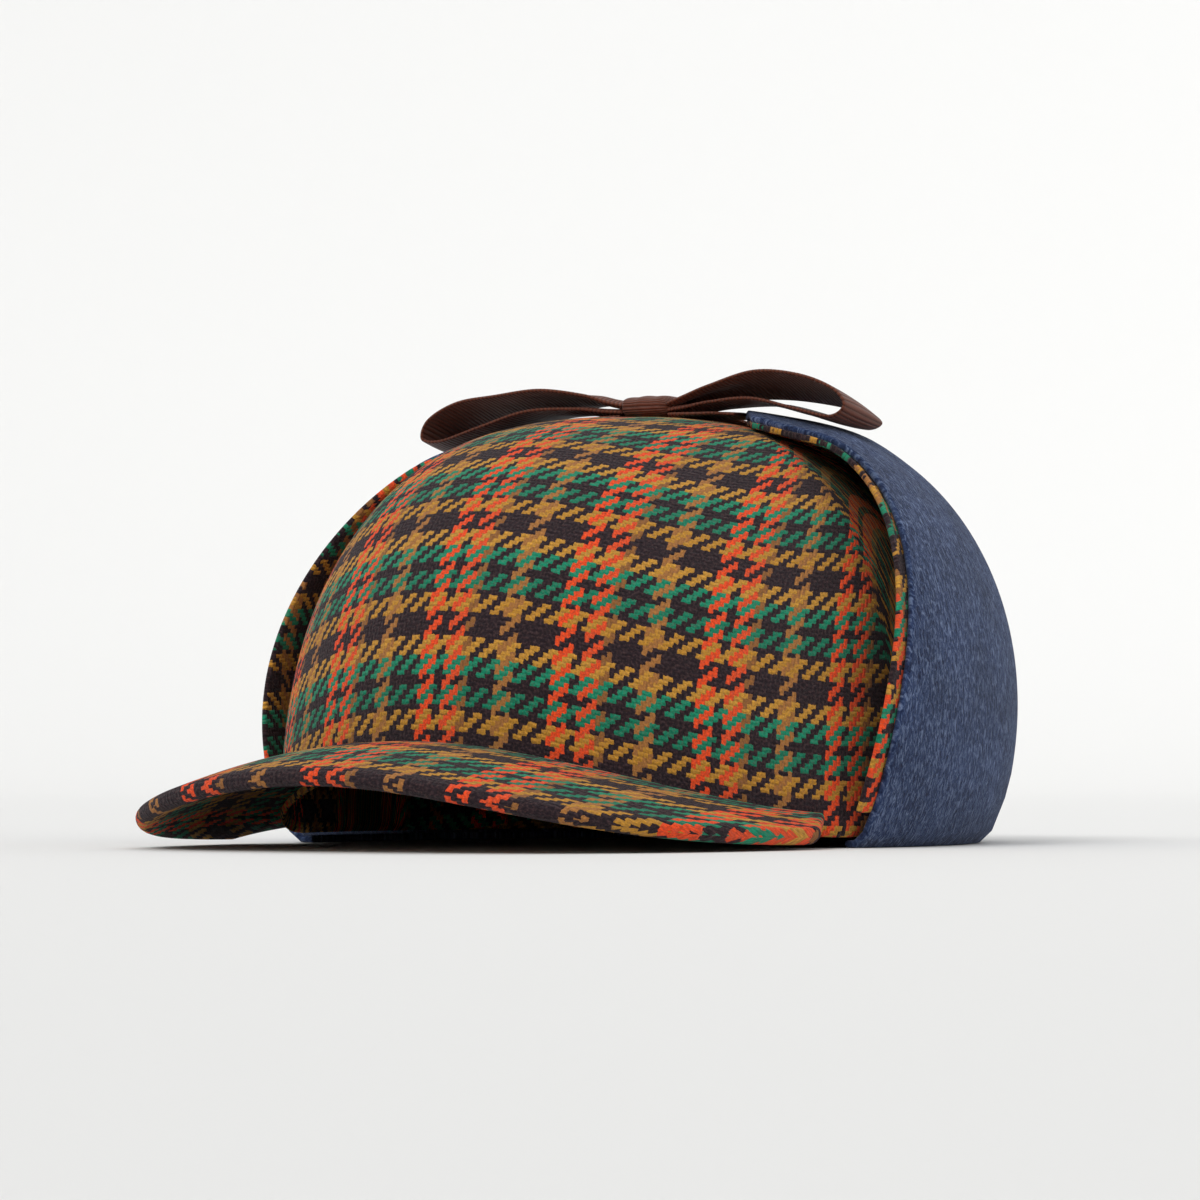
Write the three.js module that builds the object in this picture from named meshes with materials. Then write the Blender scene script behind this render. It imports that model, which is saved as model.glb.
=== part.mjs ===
// A deerstalker hat: a tweed crown and peak, two wool ear flaps turned up and tied over the top
// with a ribbon bow. Millimetres, +Z up, the front of the hat faces -Y and it stands on z = 0.
import * as THREE from 'three';
import { mergeVertices } from 'three/addons/utils/BufferGeometryUtils.js';

// Driving dimensions.
const CENTRE_Y = 17.2; // the crown's middle, so that the whole hat is centred on the origin
const CROWN = { halfWidth: 84, halfLength: 104, height: 109.5, topBack: 6, squareness: 2.6, wall: 2.2 };
const RIM = { back: 2.6, frontRise: 17, frontAngle: 70 };
const PEAK = {
  halfWidth: 84, rootEnd: -38, reach: 113, squareness: 2.7, thick: 4.4, gap: 0.8, rootAngle: 65.5,
  rootLift: 3.6, edgeFront: 16.5, edgeSide: 2.9, crest: 2.2,
};
const FLAP = {
  frontAngle: 71, frontTopAngle: 83, tipAngle: 106, backSeam: 0.6, tipRise: 0.86, backRise: 0.44,
  clear: 1.1, bulge: 8.4, frontBulge: 2.6, bellyHeight: 0.62, cover: 1.6, facing: 1.2, layerGap: 0.35,
  foldInner: -2.4, foldOuter: 2.4, foldWall: 1.5, foldTurn: 1.6, facingStart: 0.03, coverStart: 0.025,
};
const RIBBON = { thick: 0.9, bowY: 12, knotHalf: 7.5, knotTop: 6.2, knotLift: 0.6, knotWidth: 17 };
const STEPS = { around: 48, up: 12, flapAround: 14, flapUp: 10, peakAcross: 26, peakOut: 5, strip: 22 };
const DEGREE = Math.PI / 180;

// Pieces of the bow, each a row for a point along the ribbon: x out from the middle, height z of
// its back edge, its width there, and how much higher its front edge is.
const BOW_LOOP = {
  left: [
    { x: 9, z: 114.2, width: 13, lift: 0 },
    { x: 20, z: 115.6, width: 17, lift: 2.2 },
    { x: 34, z: 115.4, width: 21, lift: 4.6 },
    { x: 47, z: 113.4, width: 22, lift: 4.8 },
    { x: 57, z: 110.4, width: 22, lift: 3.4 },
    { x: 60.5, z: 107.8, width: 22, lift: 2.0 },
    { x: 56, z: 106.2, width: 22, lift: 1.0 },
    { x: 46, z: 109.2, width: 22, lift: 0.6 },
    { x: 33, z: 112.8, width: 20, lift: 0.4 },
    { x: 20, z: 112.9, width: 16, lift: 0.2 },
    { x: 9, z: 111.9, width: 13, lift: 0 },
  ],
  right: [
    { x: 9, z: 114.2, width: 13, lift: 0 },
    { x: 18, z: 115.8, width: 16, lift: 1.4 },
    { x: 30, z: 115.2, width: 20, lift: 2.6 },
    { x: 43, z: 112.9, width: 22, lift: 3.4 },
    { x: 55, z: 110.9, width: 22, lift: 3.8 },
    { x: 64, z: 107.2, width: 22, lift: 2.6 },
    { x: 66, z: 103.6, width: 22, lift: 1.6 },
    { x: 60, z: 104.0, width: 22, lift: 1.0 },
    { x: 48, z: 108.5, width: 22, lift: 0.6 },
    { x: 34, z: 112.5, width: 20, lift: 0.4 },
    { x: 20, z: 112.9, width: 16, lift: 0.2 },
    { x: 9, z: 111.9, width: 13, lift: 0 },
  ],
};
// Rows of the tie that runs from the seam at a flap's tip to the knot: x, y and the height over
// the crown.
const TIE = [
  { x: 24, y: 14, above: 3.0, width: 20 },
  { x: 19, y: 13, above: 2.3, width: 18.5 },
  { x: 14, y: 12, above: 1.8, width: 17 },
  { x: 9.5, y: 12, above: 1.6, width: 14 },
];
// Rows of a tail, which lies on the back of the crown.
const TAIL = [
  { x: 8, y: 22.5, above: 2.6, width: 12 },
  { x: 10, y: 34, above: 2.0, width: 17 },
  { x: 14, y: 48, above: 1.9, width: 20 },
  { x: 17, y: 62, above: 1.9, width: 20 },
];

const smooth = (s) => {
  const c = Math.min(1, Math.max(0, s));
  return c * c * (3 - 2 * c);
};

// Height of the crown's lower edge at an angle from the front: it arches over the forehead.
function rimHeight(angle) {
  return RIM.back + RIM.frontRise * smooth(1 - Math.abs(angle) / (RIM.frontAngle * DEGREE));
}

// A point on the crown's outer face. The angle goes round from the front, and rise goes from 0 at
// the rim to 1 at the top, along a superellipse.
function crownPoint(angle, rise) {
  const power = 2 / CROWN.squareness;
  const out = Math.max(0, Math.cos(rise * Math.PI / 2)) ** power;
  const up = Math.sin(rise * Math.PI / 2) ** power;
  const low = rimHeight(angle);
  return new THREE.Vector3(
    CROWN.halfWidth * out * Math.sin(angle),
    -CROWN.halfLength * out * Math.cos(angle) + CROWN.topBack * up,
    low + (CROWN.height - low) * up,
  );
}

// The crown's outward direction at a point, from its neighbours on the face.
function crownNormal(angle, rise) {
  if (rise > 0.995) return new THREE.Vector3(0, 0, 1);
  const step = 0.004;
  const from = Math.max(rise, step);
  const across = crownPoint(angle + step, from).sub(crownPoint(angle - step, from));
  const upward = crownPoint(angle, from + step).sub(crownPoint(angle, from - step));
  return across.cross(upward).normalize();
}

function overCrown(angle, rise, distance) {
  return crownPoint(angle, rise).addScaledVector(crownNormal(angle, rise), distance);
}

// Height of the crown's outer face over a point on the plan.
function crownHeight(x, y) {
  let up = 1;
  for (let round = 0; round < 6; round += 1) {
    const across = Math.hypot(x / CROWN.halfWidth, (y - CROWN.topBack * up) / CROWN.halfLength);
    const lean = Math.acos(Math.min(1, across ** (CROWN.squareness / 2)));
    up = Math.sin(lean) ** (2 / CROWN.squareness);
  }
  return RIM.back + (CROWN.height - RIM.back) * up;
}

// Closes two grids of points, an outer and an inner face, into one body. A row is a line of
// points along the sheet. Faces are turned to point out, and faces with no area are left out.
function closedSheet(outer, inner, wrap) {
  const rows = outer.length;
  const columns = outer[0].length;
  const points = [...outer.flat(), ...inner.flat()];
  const at = (side, row, column) => side * rows * columns + row * columns + (column % columns);
  const corners = [];
  const quad = (a, b, c, d) => corners.push([a, b, c], [a, c, d]);
  const lastColumn = wrap ? columns : columns - 1;
  for (let row = 0; row < rows - 1; row += 1) {
    for (let column = 0; column < lastColumn; column += 1) {
      quad(at(0, row, column), at(0, row, column + 1), at(0, row + 1, column + 1), at(0, row + 1, column));
      quad(at(1, row, column), at(1, row + 1, column), at(1, row + 1, column + 1), at(1, row, column + 1));
    }
  }
  for (let column = 0; column < lastColumn; column += 1) {
    quad(at(0, 0, column), at(1, 0, column), at(1, 0, column + 1), at(0, 0, column + 1));
    const top = rows - 1;
    quad(at(0, top, column), at(0, top, column + 1), at(1, top, column + 1), at(1, top, column));
  }
  if (!wrap) {
    for (let row = 0; row < rows - 1; row += 1) {
      quad(at(0, row, 0), at(0, row + 1, 0), at(1, row + 1, 0), at(1, row, 0));
      const end = columns - 1;
      quad(at(0, row, end), at(1, row, end), at(1, row + 1, end), at(0, row + 1, end));
    }
  }
  return facesOut(points, corners);
}

function facesOut(points, corners) {
  const area = (corner) => {
    const [a, b, c] = corner.map((index) => points[index]);
    return new THREE.Triangle(a, b, c).getArea();
  };
  const kept = corners.filter((corner) => area(corner) > 1e-5);
  let volume = 0;
  kept.forEach(([a, b, c]) => {
    volume += points[a].dot(points[b].clone().cross(points[c]));
  });
  const faces = volume < 0 ? kept.map(([a, b, c]) => [a, c, b]) : kept;
  const geometry = new THREE.BufferGeometry().setFromPoints(points);
  geometry.setIndex(faces.flat());
  const merged = mergeVertices(geometry, 1e-4);
  merged.computeVertexNormals();
  return merged;
}

function grid(rows, columns, place) {
  return Array.from({ length: rows }, (_, row) => (
    Array.from({ length: columns }, (_, column) => place(row, column))
  ));
}

// The crown: a dome of cloth, hollow and open below.
function crownGeometry() {
  const face = (depth) => grid(STEPS.up + 1, STEPS.around, (row, column) => (
    overCrown(column / STEPS.around * 2 * Math.PI, row / STEPS.up, -depth)
  ));
  return closedSheet(face(0), face(CROWN.wall), true);
}

// The peak's middle surface, from its root on the crown (out 0) to its front edge (out 1). The
// edge is a squarish oval on the plan, and a crest makes it full between the root and the edge.
function peakPoint(across, out) {
  const angle = across * PEAK.rootAngle * DEGREE;
  const root = overCrown(angle, 0.02, PEAK.gap);
  root.z = rimHeight(angle) + PEAK.rootLift;
  const turn = across * 84 * DEGREE;
  const power = 2 / PEAK.squareness;
  const side = Math.sign(across) * Math.abs(Math.sin(turn)) ** power;
  const edge = new THREE.Vector3(
    PEAK.halfWidth * side,
    PEAK.rootEnd - PEAK.reach * Math.cos(turn) ** power,
    PEAK.edgeSide + (PEAK.edgeFront - PEAK.edgeSide) * Math.cos(side * Math.PI / 2) ** 1.3,
  );
  const point = root.clone().lerp(edge, out);
  point.z += PEAK.crest * Math.sin(Math.PI * out) * Math.cos(turn);
  return point;
}

function peakGeometry() {
  const face = (height) => grid(STEPS.peakOut + 1, STEPS.peakAcross + 1, (row, column) => {
    const across = column / STEPS.peakAcross * 2 - 1;
    const point = peakPoint(across, row / STEPS.peakOut);
    point.z += height;
    return point;
  });
  return closedSheet(face(PEAK.thick / 2), face(-PEAK.thick / 2), false);
}

// Where a flap ends at the top, as a share of the crown's rise: high at its tip, low at the back.
function flapTop(angle) {
  const tip = FLAP.tipAngle * DEGREE;
  if (angle < tip) return FLAP.tipRise - 0.05 * ((tip - angle) / (22 * DEGREE)) ** 2;
  const fall = 0.5 + 0.5 * Math.cos(Math.PI * (angle - tip) / (Math.PI - tip));
  return FLAP.backRise + (FLAP.tipRise - FLAP.backRise) * fall;
}

// The angle of a column of a flap at a height: the front edge leans back as it rises.
function flapAngle(share, height, forward) {
  const front = FLAP.frontAngle + (FLAP.frontTopAngle - FLAP.frontAngle) * smooth(height / 0.8);
  const start = (front - forward) * DEGREE;
  return start + (Math.PI - FLAP.backSeam * DEGREE - start) * share;
}

// How far a flap stands off the crown: it bulges between its fold and its tip, most at the front.
function flapStandOff(share, height) {
  const belly = Math.sin(Math.PI * height ** FLAP.bellyHeight);
  const front = Math.exp(-((share / 0.14) ** 2));
  return FLAP.clear + (FLAP.bulge + FLAP.frontBulge * front) * belly;
}

function flapPoint(share, height, depth, forward) {
  const angle = flapAngle(share, height, forward);
  return overCrown(angle, height * flapTop(angle), flapStandOff(share, height) + depth);
}

// The flap's tweed inner layer, which shows past the cover's front edge.
function facingGeometry() {
  const face = (depth) => grid(STEPS.flapUp + 1, STEPS.flapAround + 1, (row, column) => {
    const height = FLAP.facingStart + (1 - FLAP.facingStart) * row / STEPS.flapUp;
    return flapPoint(column / STEPS.flapAround, height, depth, 2.4);
  });
  return closedSheet(face(FLAP.facing), face(0), false);
}

// The flap's wool cover. It starts as a flat fold under the crown's rim, and then turns up.
function coverGeometry() {
  const inside = FLAP.facing + FLAP.layerGap;
  const face = (depth, foldEdge, foldHeight) => grid(STEPS.flapUp + 3, STEPS.flapAround + 1, (row, column) => {
    const share = column / STEPS.flapAround;
    if (row < 2) {
      const point = overCrown(flapAngle(share, 0, 0), 0, row === 0 ? FLAP.foldInner : foldEdge);
      point.z = foldHeight;
      return point;
    }
    const height = FLAP.coverStart + (1 - FLAP.coverStart) * (row - 2) / STEPS.flapUp;
    return flapPoint(share, height, inside + depth, 0);
  });
  const outer = face(FLAP.cover, FLAP.foldOuter, 0);
  const inner = face(0, FLAP.foldOuter - FLAP.foldTurn, FLAP.foldWall);
  return closedSheet(outer, inner, false);
}

// A ribbon along a curve through rows of points, with its width laid along a direction. Its front
// edge is lifted over its back edge by the last list, where there is one.
function ribbonGeometry(points, widths, widthAlong, lifts = widths.map(() => 0)) {
  const path = new THREE.CatmullRomCurve3(points, false, 'centripetal');
  const valueAt = (list, share) => {
    const place = share * (list.length - 1);
    const low = Math.min(list.length - 2, Math.floor(place));
    return THREE.MathUtils.lerp(list[low], list[low + 1], place - low);
  };
  const up = new THREE.Vector3(0, 0, 1);
  const face = (side) => grid(STEPS.strip + 1, 3, (row, column) => {
    const share = row / STEPS.strip;
    const along = path.getTangent(share);
    const facing = along.clone().cross(widthAlong).normalize();
    return path.getPoint(share)
      .addScaledVector(widthAlong, (column / 2 - 0.5) * valueAt(widths, share))
      .addScaledVector(up, (1 - column / 2) * valueAt(lifts, share))
      .addScaledVector(facing, side * RIBBON.thick / 2);
  });
  return closedSheet(face(1), face(-1), false);
}

function loopGeometry(rows) {
  const points = rows.map((row) => new THREE.Vector3(row.x, RIBBON.bowY, row.z));
  const widths = rows.map((row) => row.width);
  return ribbonGeometry(points, widths, new THREE.Vector3(0, 1, 0), rows.map((row) => row.lift));
}

function tieGeometry() {
  const points = TIE.map((row) => new THREE.Vector3(row.x, row.y, crownHeight(row.x, row.y) + row.above));
  return ribbonGeometry(points, TIE.map((row) => row.width), new THREE.Vector3(0, 1, 0));
}

function tailGeometry() {
  const points = TAIL.map((row) => new THREE.Vector3(row.x, row.y, crownHeight(row.x, row.y) + row.above));
  const across = new THREE.Vector3(1, -0.2, -0.1).normalize();
  return ribbonGeometry(points, TAIL.map((row) => row.width), across);
}

// The knot: the ribbon's wrap round the middle of the bow, a rounded block.
function knotGeometry() {
  const base = crownHeight(0, RIBBON.bowY) + RIBBON.knotLift;
  const half = RIBBON.knotHalf;
  const outline = new THREE.Shape();
  const corner = 2.6;
  outline.moveTo(-half + corner, 0);
  outline.lineTo(half - corner, 0);
  outline.absarc(half - corner, corner, corner, -Math.PI / 2, 0, false);
  outline.lineTo(half, RIBBON.knotTop - corner);
  outline.absarc(half - corner, RIBBON.knotTop - corner, corner, 0, Math.PI / 2, false);
  outline.lineTo(-half + corner, RIBBON.knotTop);
  outline.absarc(-half + corner, RIBBON.knotTop - corner, corner, Math.PI / 2, Math.PI, false);
  outline.lineTo(-half, corner);
  outline.absarc(-half + corner, corner, corner, Math.PI, Math.PI * 1.5, false);
  const geometry = new THREE.ExtrudeGeometry(outline, {
    depth: RIBBON.knotWidth, bevelEnabled: false, curveSegments: 4,
  });
  geometry.rotateX(Math.PI / 2);
  geometry.translate(0, RIBBON.bowY + RIBBON.knotWidth / 2, base);
  return geometry;
}

function mirrored(geometry) {
  const copy = geometry.clone().scale(-1, 1, 1);
  const index = copy.getIndex();
  for (let corner = 0; corner < index.count; corner += 3) {
    const second = index.getX(corner + 1);
    index.setX(corner + 1, index.getX(corner + 2));
    index.setX(corner + 2, second);
  }
  copy.computeVertexNormals();
  return copy;
}

const hat = new THREE.Group();
hat.position.y = CENTRE_Y;

function addPiece(name, geometry, colour, roughness) {
  const material = new THREE.MeshStandardMaterial({ color: colour, roughness, metalness: 0 });
  const mesh = new THREE.Mesh(geometry, material);
  mesh.name = name;
  hat.add(mesh);
}

function addPair(name, geometry, colour, roughness) {
  addPiece(`${name}_left`, geometry, colour, roughness);
  addPiece(`${name}_right`, mirrored(geometry), colour, roughness);
}

const TWEED = '#6b4a34';
const WOOL = '#333f5c';
const GROSGRAIN = '#4b2a20';

addPiece('crown', crownGeometry(), TWEED, 0.95);
addPiece('peak', peakGeometry(), TWEED, 0.95);
addPair('ear_flap_cover', coverGeometry(), WOOL, 0.95);
addPair('ear_flap_facing', facingGeometry(), TWEED, 0.95);
addPair('ribbon_tie', tieGeometry(), GROSGRAIN, 0.8);
addPiece('bow_loop_left', loopGeometry(BOW_LOOP.left), GROSGRAIN, 0.8);
addPiece('bow_loop_right', mirrored(loopGeometry(BOW_LOOP.right)), GROSGRAIN, 0.8);
addPair('bow_tail', tailGeometry(), GROSGRAIN, 0.8);
addPiece('bow_knot', knotGeometry(), GROSGRAIN, 0.8);

export default hat;
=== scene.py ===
"""A deerstalker hat: tweed crown and peak, wool ear flaps turned up and tied with a ribbon bow.

Lengths are in millimetres until a mesh is written, which turns them to metres.
"""

from __future__ import annotations

import logging
import math
from dataclasses import dataclass, field
from enum import Enum

import bmesh
import bpy
import numpy as np
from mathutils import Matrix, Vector


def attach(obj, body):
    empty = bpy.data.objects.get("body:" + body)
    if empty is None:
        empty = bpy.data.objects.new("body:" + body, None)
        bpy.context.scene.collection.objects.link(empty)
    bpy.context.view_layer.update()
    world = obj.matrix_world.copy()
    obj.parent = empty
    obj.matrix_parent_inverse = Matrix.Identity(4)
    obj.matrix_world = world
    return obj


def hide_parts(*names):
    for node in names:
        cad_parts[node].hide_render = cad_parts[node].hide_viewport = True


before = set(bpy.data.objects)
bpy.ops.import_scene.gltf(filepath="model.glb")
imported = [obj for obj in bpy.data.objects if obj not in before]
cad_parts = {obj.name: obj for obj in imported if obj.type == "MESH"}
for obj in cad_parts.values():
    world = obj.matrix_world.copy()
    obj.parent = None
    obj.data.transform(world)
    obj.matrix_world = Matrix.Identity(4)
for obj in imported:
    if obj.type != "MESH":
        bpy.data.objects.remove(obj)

MM = 0.001
BODY = "root"
CLOTH_UV = "cloth"
CLOTH_START = 1.2  # where the cut edge of a piece lies on its cloth
EDGE_CROWD = (0, 0.04, 0.15, 0.35, 0.65)  # steps round a rounded edge, as shares of its radius
LOG = logging.getLogger("hat")


class Side(Enum):
    """The wearer's side that a piece is on, as the sign of its X."""

    LEFT = 1
    RIGHT = -1

    @property
    def word(self) -> str:
        """The side's name as it stands in a piece's name."""
        return self.name.lower()


# ---------------------------------------------------------------- small tools


def linear(hex_colour: str) -> tuple[float, float, float, float]:
    """Turns an sRGB hex colour to linear light.

    Args:
        hex_colour: six hex digits after a hash.

    Returns:
        Red, green, blue and an alpha of 1.
    """
    digits = hex_colour.lstrip("#")
    channels = np.array([int(digits[k : k + 2], 16) for k in (0, 2, 4)]) / 255
    low = channels / 12.92
    high = ((channels + 0.055) / 1.055) ** 2.4
    red, green, blue = np.where(channels <= 0.04045, low, high)
    return float(red), float(green), float(blue), 1.0


def smooth(share: np.ndarray) -> np.ndarray:
    """The smooth step 3s^2 - 2s^3 of a share held between 0 and 1."""
    held = np.clip(share, 0, 1)
    return held * held * (3 - 2 * held)


def unit(vectors: np.ndarray) -> np.ndarray:
    """Vectors along the last axis, each divided by its length."""
    return vectors / np.maximum(np.linalg.norm(vectors, axis=-1, keepdims=True), 1e-9)


def edge_steps(count: int, length: float, half: float) -> tuple[np.ndarray, np.ndarray]:
    """Steps across a sheet that crowd at its two edges, and how full its thickness is there.

    The fullness is a quarter circle, sqrt(1 - (1 - d / half)^2) at d from an edge.

    Args:
        count: steps between the two rounded edges.
        length: the sheet's size that way.
        half: half its thickness, which is the radius of its edges.

    Returns:
        The steps as shares from 0 to 1, and the fullness at each, from 0 to 1.
    """
    crowd = np.array(EDGE_CROWD) * half / length
    middle = np.linspace(half / length, 1 - half / length, count)
    steps = np.concatenate([crowd, middle, 1 - crowd[::-1]])
    depth = np.minimum(steps, 1 - steps) * length / half
    return steps, np.sqrt(np.clip(1 - (1 - np.minimum(depth, 1)) ** 2, 0, 1))


def grid_normals(grid: np.ndarray) -> np.ndarray:
    """Unit normals of a grid of points, the cross product of its two neighbour differences."""
    along_rows = np.gradient(grid, axis=0)
    along_columns = np.gradient(grid, axis=1)
    return unit(np.cross(along_columns, along_rows))


def arc_lengths(grid: np.ndarray, axis: int) -> np.ndarray:
    """The length travelled along one axis of a grid, from 0 at its first line."""
    steps = np.linalg.norm(np.diff(grid, axis=axis), axis=-1)
    pad = [(1, 0), (0, 0)] if axis == 0 else [(0, 0), (1, 0)]
    return np.pad(np.cumsum(steps, axis=axis), pad)


def spline(rows: np.ndarray, count: int) -> np.ndarray:
    """A Catmull-Rom curve through rows of numbers.

    Args:
        rows: one row for each point, with any number of columns.
        count: how many points to return.

    Returns:
        Points evenly spaced in the rows' own counting.
    """
    padded = np.vstack([2 * rows[0] - rows[1], rows, 2 * rows[-1] - rows[-2]])
    place = np.linspace(0, len(rows) - 1, count)
    low = np.minimum(place.astype(int), len(rows) - 2)
    share = (place - low)[:, None]
    before, start, end, after = (padded[low + k] for k in range(4))
    return 0.5 * (
        2 * start
        + (end - before) * share
        + (2 * before - 5 * start + 4 * end - after) * share**2
        + (3 * start - before - 3 * end + after) * share**3
    )


def write_mesh(
    name: str, vertices: np.ndarray, faces: np.ndarray, uvs: np.ndarray, material: bpy.types.Material
) -> bpy.types.Object:
    """Writes a closed smooth mesh whose doubles are merged and whose faces point out.

    Args:
        name: the piece's name.
        vertices: points in millimetres, one row each.
        faces: vertex numbers, four to a row.
        uvs: a place on the cloth in millimetres for each vertex.
        material: the piece's finish.

    Returns:
        The new object, linked to the scene.
    """
    mesh = bpy.data.meshes.new(name)
    mesh.from_pydata((vertices * MM).tolist(), [], faces.tolist())
    layer = mesh.uv_layers.new(name=CLOTH_UV)
    layer.data.foreach_set("uv", uvs[faces.ravel()].astype(np.float32).ravel())
    shape = bmesh.new()
    shape.from_mesh(mesh)
    bmesh.ops.remove_doubles(shape, verts=shape.verts, dist=2e-6)
    bmesh.ops.recalc_face_normals(shape, faces=shape.faces)
    shape.to_mesh(mesh)
    shape.free()
    mesh.shade_smooth()
    mesh.materials.append(material)
    piece = bpy.data.objects.new(name, mesh)
    bpy.context.scene.collection.objects.link(piece)
    return piece


def sheet(
    name: str,
    faces: tuple[np.ndarray, np.ndarray],
    cloth: tuple[np.ndarray, np.ndarray],
    material: bpy.types.Material,
) -> bpy.types.Object:
    """Makes a closed sheet from its two faces, which meet along its edges.

    Args:
        name: the piece's name.
        faces: the outer and the inner grid of points.
        cloth: the places on the cloth of the outer and the inner grid.
        material: the piece's finish.

    Returns:
        The new object.
    """
    rows, columns = faces[0].shape[:2]
    numbers = np.arange(rows * columns).reshape(rows, columns)
    corners = [numbers[:-1, :-1], numbers[:-1, 1:], numbers[1:, 1:], numbers[1:, :-1]]
    quads = np.stack(corners, -1).reshape(-1, 4)
    both = np.vstack([quads, quads[:, ::-1] + rows * columns])
    vertices = np.vstack([face.reshape(-1, 3) for face in faces])
    uvs = np.vstack([place.reshape(-1, 2) for place in cloth])
    return write_mesh(name, vertices, both, uvs, material)


def finish_piece(piece: bpy.types.Object, slot: str, *nodes: str) -> bpy.types.Object:
    """Puts a piece on the hat's body and in place of its nodes."""
    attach(piece, BODY)
    if nodes:
        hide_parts(*nodes)
    LOG.info("%s: %d faces", piece.name, len(piece.data.polygons))
    return piece


# ---------------------------------------------------------------- finishes


def add(
    tree: bpy.types.NodeTree, kind: str, settings: dict | None = None, links: dict | None = None
) -> bpy.types.Node:
    """Adds a node with its settings, values and links.

    Args:
        tree: the material's node tree.
        kind: the node's type.
        settings: attribute names and their values.
        links: input names or numbers, each with the output socket or the value it takes.

    Returns:
        The new node.
    """
    node = tree.nodes.new(kind)
    for name, value in (settings or {}).items():
        setattr(node, name, value)
    for name, value in (links or {}).items():
        if isinstance(value, bpy.types.NodeSocket):
            tree.links.new(value, node.inputs[name])
        else:
            node.inputs[name].default_value = value
    return node


def calc(tree: bpy.types.NodeTree, operation: str, *values: object) -> bpy.types.NodeSocket:
    """Adds one step of arithmetic and returns its result."""
    links = dict(enumerate(values))
    return add(tree, "ShaderNodeMath", {"operation": operation}, links).outputs[0]


def blended(
    tree: bpy.types.NodeTree, kind: str, share: object, first: object, second: object
) -> bpy.types.NodeSocket:
    """Adds a colour mix of one blend type and returns its result."""
    settings = {"data_type": "RGBA", "blend_type": kind}
    return add(tree, "ShaderNodeMix", settings, {0: share, 6: first, 7: second}).outputs[2]


def stripes(
    tree: bpy.types.NodeTree, thread: object, order: tuple[tuple[int, str], ...]
) -> bpy.types.NodeSocket:
    """Adds the colour of a numbered thread from a repeating order of yarns.

    Args:
        tree: the material's node tree.
        thread: the thread's number.
        order: how many threads each yarn has, and its colour.

    Returns:
        The thread's colour.
    """
    total = sum(count for count, _ in order)
    in_order = calc(tree, "FLOORED_MODULO", thread, total)
    place = calc(tree, "DIVIDE", calc(tree, "ADD", in_order, 0.5), total)
    ramp = add(tree, "ShaderNodeValToRGB", links={0: place})
    ramp.color_ramp.interpolation = "CONSTANT"
    start = 0
    for number, (count, colour) in enumerate(order):
        stops = ramp.color_ramp.elements
        stop = stops[0] if number == 0 else stops[1] if number == 1 else stops.new(start / total)
        stop.position = start / total
        stop.color = linear(colour)
        start += count
    return ramp.outputs[0]


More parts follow.
